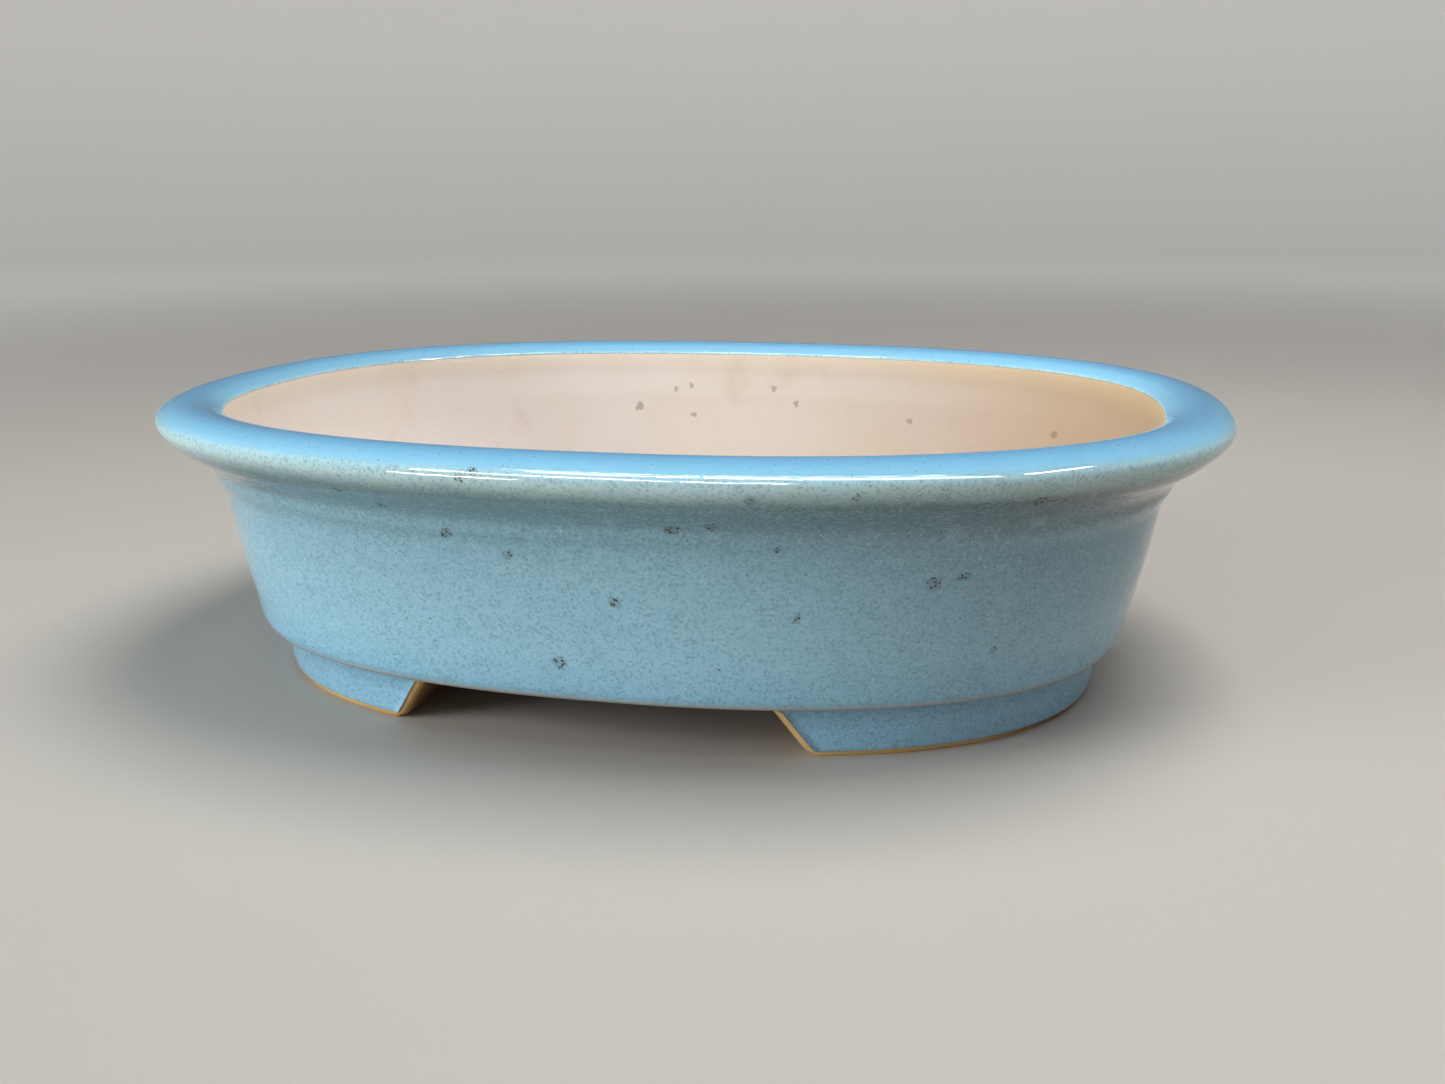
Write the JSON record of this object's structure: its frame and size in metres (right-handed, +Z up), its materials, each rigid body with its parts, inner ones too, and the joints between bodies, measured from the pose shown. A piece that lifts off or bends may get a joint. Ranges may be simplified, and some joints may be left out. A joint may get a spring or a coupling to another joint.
{
  "type": "bonsai pot",
  "caption": "Shallow oval bonsai pot with a rolled out-turned lip, two feet wrapped under its ends and drain holes, glazed outside and bare clay inside.",
  "frame": {"origin": "on the surface that the feet stand on, under the centre of the oval", "axes": "+Z up, +X along the pot's long axis, +Y across it"},
  "size_m": [0.27, 0.206, 0.07],
  "materials": {
    "clay": "matt bisque",
    "glaze": "satin gloss"
  },
  "bodies": {
    "root": {"floor_slab": "clay", "body_wall": "clay", "lip_band": "clay", "foot_left": "clay", "foot_right": "clay", "glaze_lip": "glaze", "glaze_wall": "glaze", "glaze_foot_left": "glaze", "glaze_foot_right": "glaze"}
  },
  "joints": []
}
